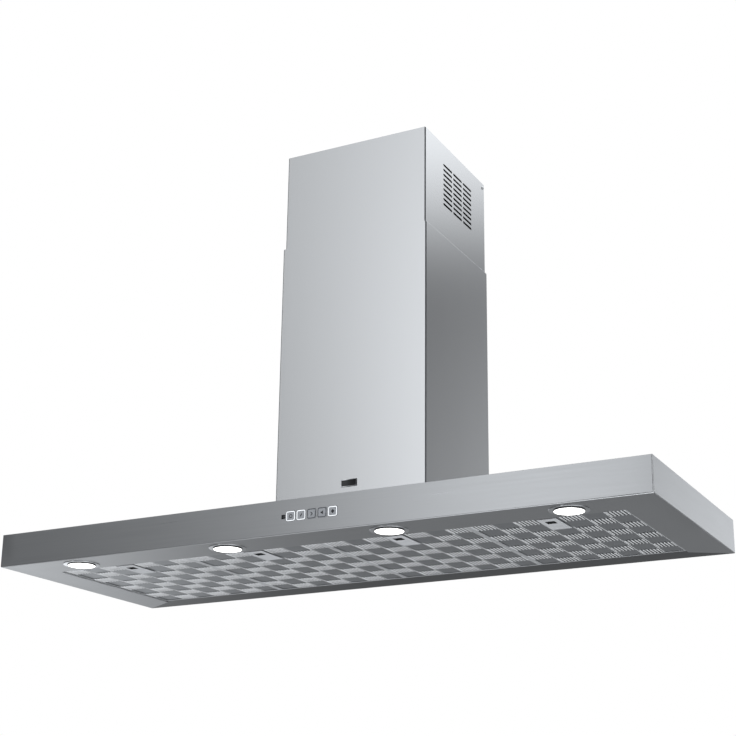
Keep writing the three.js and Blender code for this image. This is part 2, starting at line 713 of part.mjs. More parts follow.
function motorShaft() {
  return rod("x", SHAFT, [DUCT.y, FAN_Z], [-MOTOR.gap_to_disc + GAP, WHEEL.hub / 2 + SHAFT], 16);
}

// A three-armed spider over one inlet, which carries the motor from the casing.
function motorSpider() {
  const x = [-SCROLL.half - GAP - ARM.thick, -SCROLL.half - GAP];
  const disc = rod("x", ARM.disc, [DUCT.y, FAN_Z], x, ROUND);
  const arms = [0, 1, 2].map((i) => {
    const arm = new THREE.BoxGeometry(ARM.thick, ARM.reach, ARM.width);
    arm.translate((x[0] + x[1]) / 2, ARM.reach / 2, 0);
    arm.rotateX((i * 2 * Math.PI) / 3 + Math.PI / 2);
    arm.translate(0, DUCT.y, FAN_Z);
    return solidOf(arm);
  });
  return joined(disc, ...arms);
}

add("scroll_left", scrollHalf(-1), greyPlastic);
add("scroll_right", scrollHalf(1), greyPlastic);
add("fan_wheel", fanWheel(), galvanised);
add("motor", motorBody(), black);
add("motor_shaft", motorShaft(), chrome);
add("motor_spider", motorSpider(), galvanised);

export default hood;
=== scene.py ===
import math

import bmesh
import bpy
from mathutils import Matrix, Vector


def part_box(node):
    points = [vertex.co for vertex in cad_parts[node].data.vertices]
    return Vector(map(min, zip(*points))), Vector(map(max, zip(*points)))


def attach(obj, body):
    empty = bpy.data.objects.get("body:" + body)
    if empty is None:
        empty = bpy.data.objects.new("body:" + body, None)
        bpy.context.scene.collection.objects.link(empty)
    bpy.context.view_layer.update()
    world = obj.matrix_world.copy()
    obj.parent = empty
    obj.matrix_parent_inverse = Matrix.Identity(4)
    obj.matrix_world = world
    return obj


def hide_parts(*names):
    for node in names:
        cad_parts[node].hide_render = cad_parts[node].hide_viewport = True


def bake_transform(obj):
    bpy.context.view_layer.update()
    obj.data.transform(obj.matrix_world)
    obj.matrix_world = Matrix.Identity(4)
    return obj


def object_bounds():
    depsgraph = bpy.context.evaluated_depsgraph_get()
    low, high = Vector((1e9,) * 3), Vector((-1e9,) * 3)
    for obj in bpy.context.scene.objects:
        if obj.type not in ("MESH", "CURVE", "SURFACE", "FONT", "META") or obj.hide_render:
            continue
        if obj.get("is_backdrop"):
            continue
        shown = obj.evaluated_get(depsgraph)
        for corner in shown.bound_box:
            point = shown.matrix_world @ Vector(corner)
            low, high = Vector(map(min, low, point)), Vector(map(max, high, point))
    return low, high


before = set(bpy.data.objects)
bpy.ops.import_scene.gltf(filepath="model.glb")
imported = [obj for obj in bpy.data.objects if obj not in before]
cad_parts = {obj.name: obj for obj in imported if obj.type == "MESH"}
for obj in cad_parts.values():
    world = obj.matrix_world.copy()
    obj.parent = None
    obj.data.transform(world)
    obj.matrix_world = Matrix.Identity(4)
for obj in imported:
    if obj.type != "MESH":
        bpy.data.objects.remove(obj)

cad_low, cad_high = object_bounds()

# ---------------------------------------------------------------- studio
# The hood hangs on a wall above head height, so it is seen from below and from the right.
# The room is a pale floor and a soft surround with a few broad light panels, which the steel mirrors.
camera_data = bpy.data.cameras.new("camera")
camera_data.sensor_width = 36
camera_data.lens = 72.46
camera_data.shift_x = -0.0856
camera_data.shift_y = 0.0666
camera = bpy.data.objects.new("camera", camera_data)
camera.location = (1.2044, -2.44, -0.5377)
camera.rotation_euler = (math.radians(107.584), 0, math.radians(25.731))
bpy.context.scene.collection.objects.link(camera)
bpy.context.scene.camera = camera

bpy.context.scene.view_settings.view_transform = "Standard"

FLOOR_DROP = 1.6
FLOOR_RADIUS = 14
FLOOR_GLOW = 0.42
bm = bmesh.new()
bmesh.ops.create_circle(bm, cap_ends=True, segments=64, radius=FLOOR_RADIUS)
bmesh.ops.translate(bm, verts=bm.verts, vec=(0, 0, cad_low.z - FLOOR_DROP))
floor_mesh = bpy.data.meshes.new("floor")
bm.to_mesh(floor_mesh)
bm.free()
floor = bpy.data.objects.new("floor", floor_mesh)
bpy.context.scene.collection.objects.link(floor)
floor.visible_glossy = False
floor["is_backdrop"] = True
pale_floor = bpy.data.materials.new("pale_floor")
pale_floor.use_nodes = True
pale_shader = pale_floor.node_tree.nodes["Principled BSDF"]
pale_shader.inputs["Base Color"].default_value = (0.86, 0.86, 0.86, 1)
pale_shader.inputs["Roughness"].default_value = 0.8
pale_shader.inputs["Emission Color"].default_value = (1, 1, 1, 1)
pale_shader.inputs["Emission Strength"].default_value = FLOOR_GLOW
floor_mesh.materials.append(pale_floor)

# Each soft light panel: azimuth and elevation of its middle in degrees (azimuth 0 is in front of the hood,
# positive to the right), half its width and height in degrees, how bright it is, and how crisp its edge is.
LIGHT_PANELS = [
    (-21, 8, 6.8, 28, 1.38, 1.1),
    (-30, 38, 22, 24, 0.28, 1.6),
    (72, 1, 36, 14, 1.3, 1.6),
    (156, 52, 34, 27, 1.1, 8.0),
    (167, 10, 8, 14, 0.95, 1.4),
    (-134, -8, 9, 20, 0.95, 1.3),
    (-156, -8, 30, 22, 0.10, 1.4),
    (0, -90, 34, 34, 2.2, 2.0),
    (0, 90, 36, 36, 0.7, 2.0),
    (-112, 28, 24, 22, 0.4, 2.0),
]
SURROUND = 0.15
SURROUND_TINT = (0.935, 0.965, 1, 1)


def panel_axes(azimuth, elevation):
    """The directions to the middle of a panel, to its right and to its top."""
    a, e = math.radians(azimuth), math.radians(elevation)
    forward = Vector((math.sin(a) * math.cos(e), -math.cos(a) * math.cos(e), math.sin(e)))
    right = Vector((math.cos(a), math.sin(a), 0))
    return forward, right, right.cross(forward)


world = bpy.data.worlds.new("studio")
world.use_nodes = True
bpy.context.scene.world = world
tree = world.node_tree
tree.nodes.clear()
output = tree.nodes.new("ShaderNodeOutputWorld")
coordinates = tree.nodes.new("ShaderNodeTexCoord")


def world_math(operation, first, second):
    """One sum on the light of the surround, from numbers or from other sums."""
    node = tree.nodes.new("ShaderNodeMath")
    node.operation = operation
    for entry, value in zip(node.inputs, (first, second)):
        if isinstance(value, (int, float)):
            entry.default_value = value
        else:
            tree.links.new(value, entry)
    return node.outputs[0]


def along(direction):
    """How far the looked-at direction reaches along a vector."""
    node = tree.nodes.new("ShaderNodeVectorMath")
    node.operation = "DOT_PRODUCT"
    tree.links.new(coordinates.outputs["Generated"], node.inputs[0])
    node.inputs[1].default_value = direction
    return node.outputs["Value"]


total = SURROUND
for azimuth, elevation, half_width, half_height, strength, edge in LIGHT_PANELS:
    forward, right, up = panel_axes(azimuth, elevation)
    sideways = along(right / math.sin(math.radians(half_width)))
    upwards = along(up / math.sin(math.radians(half_height)))
    spread = world_math("ADD", world_math("POWER", sideways, 2.0), world_math("POWER", upwards, 2.0))
    falloff = world_math("POWER", math.e, world_math("MULTIPLY", world_math("POWER", spread, edge), -1.0))
    panel = world_math("MULTIPLY", falloff, world_math("GREATER_THAN", along(forward), 0.0))
    total = world_math("ADD", world_math("MULTIPLY", panel, strength), total)
surround = tree.nodes.new("ShaderNodeBackground")
surround.inputs["Color"].default_value = SURROUND_TINT
tree.links.new(total, surround.inputs["Strength"])
backdrop = tree.nodes.new("ShaderNodeBackground")
backdrop.inputs["Color"].default_value = (1, 1, 1, 1)
light_path = tree.nodes.new("ShaderNodeLightPath")
mix = tree.nodes.new("ShaderNodeMixShader")
tree.links.new(light_path.outputs["Is Camera Ray"], mix.inputs[0])
tree.links.new(surround.outputs[0], mix.inputs[1])
tree.links.new(backdrop.outputs[0], mix.inputs[2])
tree.links.new(mix.outputs[0], output.inputs["Surface"])

# ---------------------------------------------------------------- canopy
# The canopy is one sheet of brushed stainless steel, 1 mm thick, folded round its front, ends and underside.
# The rear corners are mitred, and a narrow lip is turned up round the opening for the filters.


def socket(material, name):
    return material.node_tree.nodes["Principled BSDF"].inputs[name]


def new_finish(name, colour, roughness, metallic=0.0):
    material = bpy.data.materials.new(name)
    material.use_nodes = True
    socket(material, "Base Color").default_value = (*colour, 1)
    socket(material, "Roughness").default_value = roughness
    socket(material, "Metallic").default_value = metallic
    return material


def add_node(material, kind, links=(), **values):
    """A shader node whose named sockets are linked to outputs (links) or set (values)."""
    tree = material.node_tree
    node = tree.nodes.new(kind)
    for name, value in values.items():
        node.inputs[name.replace("_", " ")].default_value = value
    for name, source in dict(links).items():
        tree.links.new(source, node.inputs[name])
    return node


def stretched_noise(material, frequency, detail=4.0, roughness=0.65):
    """Noise in the object's own coordinates, with its own frequency per metre along each axis."""
    place = add_node(material, "ShaderNodeTexCoord")
    scaled = add_node(material, "ShaderNodeMapping", {"Vector": place.outputs["Object"]}, Scale=frequency)
    noise = add_node(
        material,
        "ShaderNodeTexNoise",
        {"Vector": scaled.outputs["Vector"]},
        Scale=1.0,
        Detail=detail,
        Roughness=roughness,
    )
    return noise.outputs["Fac"]


def shade_between(material, factor, low_colour, high_colour):
    """Lets a pattern shift the colour between two close shades."""
    mix = material.node_tree.nodes.new("ShaderNodeMix")
    mix.data_type = "RGBA"
    colours = [s for s in mix.inputs if s.type == "RGBA"]
    colours[0].default_value = (*low_colour, 1)
    colours[1].default_value = (*high_colour, 1)
    material.node_tree.links.new(factor, mix.inputs[0])
    result = next(s for s in mix.outputs if s.type == "RGBA")
    material.node_tree.links.new(result, socket(material, "Base Color"))


def vary_roughness(material, factor, low, high):
    """Lets a pattern shift how dull the surface is."""
    spread = add_node(material, "ShaderNodeMapRange", {"Value": factor})
    spread.inputs["To Min"].default_value = low
    spread.inputs["To Max"].default_value = high
    material.node_tree.links.new(spread.outputs["Result"], socket(material, "Roughness"))


def roughen(material, height, distance, strength=1.0):
    """Lets a pattern raise the surface by a distance in metres."""
    bump = add_node(material, "ShaderNodeBump", {"Height": height}, Distance=distance, Strength=strength)
    material.node_tree.links.new(bump.outputs["Normal"], socket(material, "Normal"))


# The grain's noise per metre, across and along it, and how deep it is.
FINE = 260
LONG = 5
GRAIN_DEPTH = 0.00004


def brushed_steel(name, frequency, across, tone, gloss=(0.24, 0.36), spread=0.65, grain=1.0):
    """Stainless steel whose grain has a frequency per metre along each axis, and spreads the gloss across."""
    steel = new_finish(name, (tone, tone, tone), gloss[0], 1.0)
    streaks = stretched_noise(steel, frequency)
    furrow = [tone * (1 - grain * dip) for dip in (0.07, 0.06, 0.045)]
    crest = [tone * (1 + grain * rise) for rise in (0.06, 0.065, 0.07)]
    shade_between(steel, streaks, furrow, crest)
    vary_roughness(steel, streaks, *gloss)
    roughen(steel, streaks, GRAIN_DEPTH * grain)
    socket(steel, "Anisotropic").default_value = spread
    direction = add_node(steel, "ShaderNodeCombineXYZ", X=across[0], Y=across[1], Z=across[2])
    steel.node_tree.links.new(direction.outputs[0], socket(steel, "Tangent"))
    return steel


# Three of the canopy's finishes: its front and underside, its ends, and the plate behind the filters, whose
# steel is painted dark as painted shade.
steel_along_x = brushed_steel("steel_grain_along_the_front", (LONG, FINE, FINE), (0, 0.02, 1), 0.58)
steel_along_y = brushed_steel("steel_grain_along_the_ends", (FINE, LONG, FINE), (0.02, 0, 1), 0.68)
steel_painted_shade = brushed_steel("steel_behind_the_filters_painted_shade", (LONG, FINE, FINE), (0, 1, 0.02), 0.21)

# The bends at the ends and corners, and the rounded top edges of the sleeves, are painted bright as a painted
# highlight.
steel_bend_highlight = new_finish("steel_bends_painted_highlight", (0.95, 0.955, 0.96), 0.42, 1.0)
vary_roughness(steel_bend_highlight, stretched_noise(steel_bend_highlight, (400, 400, 400)), 0.36, 0.5)


# Corners closer than a weld are one corner, and a gap narrower than a hair is none. Both are in metres.
WELD = 0.000001
HAIR = 0.00001


def copy_of(node, cuts_x=(), cuts_y=()):
    """The solid of a CAD node with its corners merged and its flat faces whole, but parted at the cuts."""
    bm = bmesh.new()
    bm.from_mesh(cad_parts[node].data)
    bmesh.ops.remove_doubles(bm, verts=bm.verts, dist=WELD)
    bmesh.ops.dissolve_limit(bm, angle_limit=math.radians(1), verts=bm.verts, edges=bm.edges)
    planes = [((x, 0, 0), (1, 0, 0)) for x in cuts_x] + [((0, y, 0), (0, 1, 0)) for y in cuts_y]
    for place, direction in planes:
        everything = bm.verts[:] + bm.edges[:] + bm.faces[:]
        bmesh.ops.bisect_plane(bm, geom=everything, dist=0.0000001, plane_co=place, plane_no=direction)
    return bm


def round_edges(bm, edges, radius, segments=3):
    """Rounds edges off to a radius."""
    bmesh.ops.bevel(
        bm,
        geom=edges,
        offset=radius,
        segments=segments,
        profile=0.5,
        affect="EDGES",
        material=-1,
        clamp_overlap=False,
    )


def sharp_edges(bm, angle=40):
    """The edges whose faces meet at more than an angle in degrees."""
    return [e for e in bm.edges if len(e.link_faces) == 2 and e.calc_face_angle(0) > math.radians(angle)]


def middle(edge):
    return (edge.verts[0].co + edge.verts[1].co) / 2


def finish_piece(name, bm, materials, body, node=None, smooth=30, flat=False):
    """Turns a mesh into a piece of the hood that rides on a body and takes a slot's finish."""
    mesh = bpy.data.meshes.new(name)
    bm.to_mesh(mesh)
    bm.free()
    for material in materials:
        mesh.materials.append(material)
    mesh.shade_smooth()
    mesh.set_sharp_from_angle(angle=math.radians(smooth))
    piece = bpy.data.objects.new(name, mesh)
    bpy.context.scene.collection.objects.link(piece)
    if flat:
        piece.modifiers.new("flat_faces", "WEIGHTED_NORMAL").keep_sharp = True
    if body:
        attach(piece, body)
    if node:
        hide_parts(node)
    return piece


def finish_node(node, *materials):
    """Gives a CAD node its finish."""
    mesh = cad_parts[node].data
    mesh.materials.clear()
    for material in materials:
        mesh.materials.append(material)


BEND = 0.0018
TOP_EDGE = 0.0005
END_CUT = 0.03
CUT_BEHIND_LAMPS = -0.374
CUT_ACROSS_OPENING = -0.2
NEARLY_FLAT = 0.98
LARGEST_BEND_AREA = 0.003
shell_low, shell_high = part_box("canopy_shell")
lamp_boxes = [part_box(f"lamp_lens_{i}") for i in range(1, 5)]
lamp_places = [(lamp_low.x + lamp_high.x) / 2 for lamp_low, lamp_high in lamp_boxes]
between_lamps = [(a + b) / 2 for a, b in zip(lamp_places, lamp_places[1:])]
near_ends = [shell_low.x + END_CUT, shell_high.x - END_CUT]
shell_cuts = lamp_places + between_lamps + near_ends
shell = copy_of("canopy_shell", shell_cuts, [CUT_BEHIND_LAMPS, CUT_ACROSS_OPENING])


def on_shell_planes(edge):
    """How many of the shell's outer planes an edge lies in: its two ends, its front and its underside."""
    place = middle(edge)
    gaps = (place.x - shell_low.x, shell_high.x - place.x, place.y - shell_low.y, place.z - shell_low.z)
    return sum(gap < HAIR for gap in gaps)


round_edges(shell, [e for e in sharp_edges(shell) if on_shell_planes(e) == 2], BEND, 4)
top_rim = [e for e in sharp_edges(shell) if shell_high.z - middle(e).z < HAIR and on_shell_planes(e) >= 1]
round_edges(shell, top_rim, TOP_EDGE, 2)
for face in shell.faces:
    across, back, up = (abs(c) for c in face.normal)
    lower_front = across <= 0.1 and up >= 0.1
    bent = max(across, back, up) < NEARLY_FLAT and face.calc_area() < LARGEST_BEND_AREA
    face.material_index = 2 if bent and not lower_front else 1 if across > 0.8 else 0
canopy_steels = [steel_along_x, steel_along_y, steel_bend_highlight]
finish_piece("canopy_sheet", shell, canopy_steels, "root", "canopy_shell", flat=True)
finish_node("top_panel", steel_along_x)
finish_node("back_panel", steel_painted_shade)

# ---------------------------------------------------------------- lamps
# Four round lamps light the hob. Each has an opal lens that stands proud of a chromed, bell-shaped trim,
# pressed into the front strip of the canopy, and an aluminium holder above the sheet.
opal = new_finish("lit_opal", (1, 1, 0.98), 0.25)
socket(opal, "Emission Color").default_value = (1, 0.99, 0.96, 1)
opal_glow = stretched_noise(opal, (60, 60, 60), detail=1.0)
glow = add_node(opal, "ShaderNodeMapRange", {"Value": opal_glow})
glow.inputs["To Min"].default_value = 2.6
glow.inputs["To Max"].default_value = 3.4
opal.node_tree.links.new(glow.outputs["Result"], socket(opal, "Emission Strength"))

chrome = new_finish("chrome_plate", (0.80, 0.81, 0.82), 0.08, 1.0)
vary_roughness(chrome, stretched_noise(chrome, (300, 300, 300)), 0.05, 0.14)

# The inside of the trim next to the lens is painted near black, as painted shade in the gap round the lens.
bell_gap_painted_shade = new_finish("lamp_bell_painted_shade", (0.03, 0.031, 0.034), 0.3)
vary_roughness(bell_gap_painted_shade, stretched_noise(bell_gap_painted_shade, (300, 300, 300)), 0.25, 0.4)

cast_aluminium = new_finish("cast_aluminium", (0.7, 0.71, 0.72), 0.45, 1.0)
cast_grain = stretched_noise(cast_aluminium, (900, 900, 900))
vary_roughness(cast_aluminium, cast_grain, 0.38, 0.55)
roughen(cast_aluminium, cast_grain, 0.0001, 0.4)

ROUND_STEPS = 48
NO_AREA = 1e-12


def turned(profile, centre, axis="Z", steps=ROUND_STEPS):
    """A solid of revolution. Each point of the closed profile is (radius, height) in metres."""
    bm = bmesh.new()
    ring = [bm.verts.new((radius, 0, height)) for radius, height in profile]
    pairs = [(ring[i - 1], ring[i]) for i in range(len(ring))]
    loop = [bm.edges.new(pair) for pair in pairs if pair[0].co.x > 0 or pair[1].co.x > 0]
    bmesh.ops.spin(
        bm,
        geom=ring + loop,
        cent=(0, 0, 0),
        axis=(0, 0, 1),
        angle=2 * math.pi,
        steps=steps,
        use_merge=True,
        use_duplicate=False,
    )
    bmesh.ops.remove_doubles(bm, verts=bm.verts, dist=WELD)
    degenerate = [f for f in bm.faces if f.calc_area() < NO_AREA]
    bmesh.ops.delete(bm, geom=degenerate, context="FACES")
    if axis == "X":
        bmesh.ops.rotate(bm, verts=bm.verts, cent=(0, 0, 0), matrix=Matrix.Rotation(math.radians(90), 3, "Y"))
    bmesh.ops.recalc_face_normals(bm, faces=bm.faces)
    bmesh.ops.translate(bm, verts=bm.verts, vec=centre)
    return bm


def arc(centre_radius, centre_height, radius, start, end, steps):
    """Points along an arc of a profile, from a start to an end angle in degrees."""
    angles = [math.radians(start + (end - start) * i / steps) for i in range(steps + 1)]
    return [(centre_radius + radius * math.cos(a), centre_height + radius * math.sin(a)) for a in angles]


LENS_CROWN = 0.0005
LENS_INSET = 0.0012
LENS_GAP = 0.0002
TRIM_ROLL = 0.0004
BELL_FOOT = 0.0012
BELL_FLARE = 0.0022
FLANGE_FACE = -0.0010
FLANGE_ROLL = 0.0004
SHEET_SEAT = -0.0001
NECK_WALL = 0.002
for i in range(1, 5):
    low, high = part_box(f"lamp_lens_{i}")
    centre = (low + high) / 2
    glass = (high.x - low.x) / 2 - LENS_INSET
    crown = [
        (glass * math.sin(math.radians(a)), low.z + LENS_CROWN * (1 - math.cos(math.radians(a))))
        for a in range(0, 91, 15)
    ]
    lens_profile = crown + [(glass, high.z), (0, high.z)]
    lens = turned(lens_profile, (centre.x, centre.y, 0))
    finish_piece(f"lamp_opal_{i}", lens, [opal], "root", f"lamp_lens_{i}", smooth=50)

    low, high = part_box(f"lamp_trim_{i}")
    flange_radius = (high.x - low.x) / 2
    bore = glass + LENS_GAP
    roll = arc(bore + TRIM_ROLL, low.z + TRIM_ROLL, TRIM_ROLL, 180, 360, 6)
    bell = [(bore + BELL_FOOT, FLANGE_FACE), (bore + BELL_FLARE, FLANGE_FACE + 0.0002)]
    rim_height = FLANGE_FACE + FLANGE_ROLL
    flange = arc(flange_radius - FLANGE_ROLL, rim_height, FLANGE_ROLL, 270, 360, 3)
    flange.append((flange_radius, SHEET_SEAT))
    neck = [(bore + NECK_WALL, SHEET_SEAT), (bore + NECK_WALL, high.z), (bore, high.z)]
    trim = turned(roll + bell + flange + neck, (centre.x, centre.y, 0))
    for face in trim.faces:
        place = face.calc_center_median()
        spread = math.hypot(place.x - centre.x, place.y - centre.y)
        face.material_index = 1 if spread < bore + BELL_FOOT else 0
    finish_piece(f"lamp_bell_{i}", trim, [chrome, bell_gap_painted_shade], "root", f"lamp_trim_{i}", smooth=50)
    finish_node(f"lamp_housing_{i}", cast_aluminium)

# ---------------------------------------------------------------- chimney sleeves
# Two sleeves of brushed steel slide one inside the other. Each is a sheet folded at its front corners and
# returned along the wall, and the upper one has air slots punched through both of its sides.
SLEEVE_BEND = 0.0020
SLEEVE_WALL = 0.0009
TOP_ROUNDING = 0.0006
steel_upright = brushed_steel(
    "steel_upright_grain",
    (FINE, FINE, LONG),
    (1, 0.9, 0),
    0.83,
    gloss=(0.165, 0.195),
    spread=0.8,
    grain=0.35,
)
# The folds at the sleeves' front corners are painted dark, a painted shade line down each fold.
steel_fold_painted_shade = new_finish("steel_upright_fold_painted_shade", (0.22, 0.225, 0.235), 0.3, 1.0)
vary_roughness(steel_fold_painted_shade, stretched_noise(steel_fold_painted_shade, (260, 260, 5)), 0.24, 0.36)


def folded_sleeve(node, name, body):
    """The side walls of a sleeve, joined by rounded bends and a plain front."""
    low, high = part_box(node)
    bend_y = low.y + SLEEVE_BEND
    bm = copy_of(node, cuts_y=[bend_y])
    front = [f for f in bm.faces if f.calc_center_median().y < bend_y - WELD]
    bmesh.ops.delete(bm, geom=front, context="FACES")
    on_cut = [v for v in bm.verts if abs(v.co.y - bend_y) < WELD]
    spare = [v for v in on_cut if low.z + HAIR < v.co.z < high.z - HAIR]
    bmesh.ops.dissolve_verts(bm, verts=spare)
    front_ends = []
    for side, centre_x in ((-1, low.x + SLEEVE_BEND), (1, high.x - SLEEVE_BEND)):
        rim = [e for e in bm.edges if len(e.link_faces) == 1 and side * middle(e).x > 0]
        rim = [e for e in rim if all(abs(v.co.y - bend_y) < WELD for v in e.verts)]
        bend = bmesh.ops.spin(
            bm,
            geom=list({v for e in rim for v in e.verts}) + rim,
            cent=(centre_x, bend_y, 0),
            axis=(0, 0, 1),
            angle=math.radians(-90 * side),
            steps=6,
            use_duplicate=False,
        )
        front_ends += [e for e in bend["geom_last"] if isinstance(e, bmesh.types.BMEdge)]
    bmesh.ops.bridge_loops(bm, edges=front_ends)
    bmesh.ops.recalc_face_normals(bm, faces=bm.faces)
    top = [e for e in sharp_edges(bm) if all(high.z - v.co.z < HAIR for v in e.verts)]
    outer = [e for e in top if min(middle(e).x - low.x, high.x - middle(e).x) < SLEEVE_WALL]
    round_edges(bm, outer, TOP_ROUNDING, 2)
    for face in bm.faces:
        folded = min(abs(face.normal.x), abs(face.normal.y)) > 0.1
        rounded = 0.1 < abs(face.normal.z) < NEARLY_FLAT
        face.material_index = 2 if rounded else 1 if folded else 0
    finish_piece(name, bm, [steel_upright, steel_fold_painted_shade, steel_bend_highlight], body, node, flat=True)


folded_sleeve("lower_chimney", "lower_sleeve", "root")
folded_sleeve("upper_chimney", "upper_sleeve", "upper_chimney")

# ---------------------------------------------------------------- blank plate
# A small dark plate with a bright rim sits on the front of the lower sleeve. It is left blank.
plate_black = new_finish("plate_black", (0.012, 0.013, 0.015), 0.2)
vary_roughness(plate_black, stretched_noise(plate_black, (700, 700, 700)), 0.16, 0.3)
PLATE_RIM = 0.0007
PLATE_SINK = 0.0002
PLATE_EDGE = 0.0003


def rounded_block(low, high, radius, segments=3):
    """A block that fills a box, with all its edges rounded."""
    bm = bmesh.new()
    bmesh.ops.create_cube(bm, size=1)
    size = high - low
    bmesh.ops.scale(bm, verts=bm.verts, vec=size)
    bmesh.ops.translate(bm, verts=bm.verts, vec=(low + high) / 2)
    round_edges(bm, bm.edges[:], radius, segments)
    return bm


low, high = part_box("badge_plate")
badge = rounded_block(low, high, PLATE_EDGE, 2)
badge_face = [f for f in badge.faces if f.normal.y < -0.99]
rim = bmesh.ops.inset_region(badge, faces=badge_face, thickness=PLATE_RIM, use_even_offset=True)
for face in rim["faces"]:
    face.material_index = 1
bmesh.ops.translate(badge, verts=list({v for f in badge_face for v in f.verts}), vec=(0, PLATE_SINK, 0))
finish_piece("blank_plate", badge, [plate_black, chrome], "root", "badge_plate")

# ---------------------------------------------------------------- controls
# Five square keys and an indicator sit in a row in the front sheet. Each key is moulded grey plastic with a
# raised frame, which is lit on three of them, and a printed sign. A black housing guides them from behind.
key_grey = new_finish("key_grey", (0.46, 0.475, 0.50), 0.4)
roughen(key_grey, stretched_noise(key_grey, (1500, 1500, 1500)), 0.00005, 0.5)
frame_dark = new_finish("key_frame_dark", (0.085, 0.09, 0.10), 0.35)
vary_roughness(frame_dark, stretched_noise(frame_dark, (900, 900, 900)), 0.3, 0.42)
frame_lit = new_finish("key_frame_lit", (0.95, 0.97, 1), 0.35)
socket(frame_lit, "Emission Color").default_value = (0.95, 0.98, 1, 1)
lit_level = add_node(frame_lit, "ShaderNodeMapRange", {"Value": stretched_noise(frame_lit, (300, 300, 300))})
lit_level.inputs["To Min"].default_value = 0.5
lit_level.inputs["To Max"].default_value = 0.7
frame_lit.node_tree.links.new(lit_level.outputs["Result"], socket(frame_lit, "Emission Strength"))
sign_ink = new_finish("sign_ink", (0.03, 0.032, 0.036), 0.5)
vary_roughness(sign_ink, stretched_noise(sign_ink, (1200, 1200, 1200)), 0.42, 0.58)

KEY_CORNER = 0.003
KEY_EDGE = 0.0004
KEY_FRAME = 0.0013
KEY_DISH = 0.0005
KEY_SLOPE = 0.0004
WINDOW_EDGE = 0.0005
SIGN_REACH = 0.0034
RING_RADIUS = 0.0031
RING_WIDTH = 0.0011
SIGN_THICK = 0.00012
LIT_KEYS = (1, 2, 5)


def ring_sign():
    """A flat ring."""
    bm = bmesh.new()
    circle = bmesh.ops.create_circle(bm, cap_ends=True, segments=28, radius=RING_RADIUS)
    hole = circle["verts"][0].link_faces[0]
    bmesh.ops.inset_individual(bm, faces=[hole], thickness=RING_WIDTH)
    bmesh.ops.delete(bm, geom=[hole], context="FACES")
    return bm


def bar_sign(length=0.0052, width=0.0015, turn=65, shift=(0, 0, 0)):
    """A flat slanting bar."""
    bm = bmesh.new()
    bmesh.ops.create_grid(bm, x_segments=1, y_segments=1, size=0.5)
    bmesh.ops.scale(bm, verts=bm.verts, vec=(length, width, 1))
    bmesh.ops.rotate(bm, verts=bm.verts, cent=(0, 0, 0), matrix=Matrix.Rotation(math.radians(turn), 3, "Z"))
    bmesh.ops.translate(bm, verts=bm.verts, vec=shift)
    return bm


def sided_sign(sides, radius, turn):
    """A flat triangle or square."""
    bm = bmesh.new()
    bmesh.ops.create_circle(bm, cap_ends=True, segments=sides, radius=radius)
    bmesh.ops.rotate(bm, verts=bm.verts, cent=(0, 0, 0), matrix=Matrix.Rotation(math.radians(turn), 3, "Z"))
    return bm


def chevron_sign(length=0.0046, width=0.0013):
    """Two slanting bars that meet in a point."""
    bm = bar_sign(length, width, -45, (0, width, 0))
    lower = bar_sign(length, width, 45, (0, -width, 0))
    spare = bpy.data.meshes.new("chevron_half")
    lower.to_mesh(spare)
    lower.free()
    bm.from_mesh(spare)
    bpy.data.meshes.remove(spare)
    return bm


SIGNS = [ring_sign(), bar_sign(), chevron_sign(), sided_sign(3, SIGN_REACH, 90), sided_sign(4, SIGN_REACH, 0)]
for i, sign in enumerate(SIGNS, start=1):
    low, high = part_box(f"push_button_{i}")
    key = bmesh.new()
    bmesh.ops.create_cube(key, size=1)
    bmesh.ops.scale(key, verts=key.verts, vec=high - low)
    bmesh.ops.translate(key, verts=key.verts, vec=(low + high) / 2)
    long_edges = [e for e in key.edges if abs(e.verts[0].co.y - e.verts[1].co.y) > 0.001]
    round_edges(key, long_edges, KEY_CORNER, 6)
    round_edges(key, [e for e in sharp_edges(key) if middle(e).y < low.y + HAIR], KEY_EDGE, 3)
    face = [f for f in key.faces if f.normal.y < -0.99]
    rim = bmesh.ops.inset_region(key, faces=face, thickness=KEY_FRAME, use_even_offset=True)
    for part in rim["faces"]:
        part.material_index = 1
    bmesh.ops.inset_region(key, faces=face, thickness=KEY_SLOPE, depth=-KEY_DISH, use_even_offset=True)
    key_plastics = [key_grey, frame_lit if i in LIT_KEYS else frame_dark]
    button = f"button_{i}"
    finish_piece(f"key_{i}", key, key_plastics, button, f"push_button_{i}", flat=True)

    grown = bmesh.ops.extrude_face_region(sign, geom=sign.faces[:])
    raised = [g for g in grown["geom"] if isinstance(g, bmesh.types.BMVert)]
    bmesh.ops.translate(sign, verts=raised, vec=(0, 0, SIGN_THICK))
    bmesh.ops.recalc_face_normals(sign, faces=sign.faces)
    upright = Matrix.Rotation(math.radians(90), 3, "X")
    bmesh.ops.rotate(sign, verts=sign.verts, cent=(0, 0, 0), matrix=upright)
    place = ((low.x + high.x) / 2, low.y + KEY_DISH, (low.z + high.z) / 2)
    bmesh.ops.translate(sign, verts=sign.verts, vec=place)
    finish_piece(f"key_sign_{i}", sign, [sign_ink], button)

low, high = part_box("indicator_window")
finish_piece(
    "indicator_lens",
    rounded_block(low, high, WINDOW_EDGE, 3),
    [plate_black],
    "root",
    "indicator_window",
)
moulded_black = new_finish("moulded_black", (0.02, 0.021, 0.023), 0.5)
black_grain = stretched_noise(moulded_black, (1400, 1400, 1400))
vary_roughness(moulded_black, black_grain, 0.42, 0.6)
roughen(moulded_black, black_grain, 0.0001, 0.5)
board_green = new_finish("circuit_board", (0.03, 0.16, 0.08), 0.4)
board_mottle = stretched_noise(board_green, (500, 500, 500))
shade_between(board_green, board_mottle, (0.02, 0.12, 0.06), (0.05, 0.2, 0.1))
finish_node("control_housing", moulded_black)
finish_node("control_board", board_green)

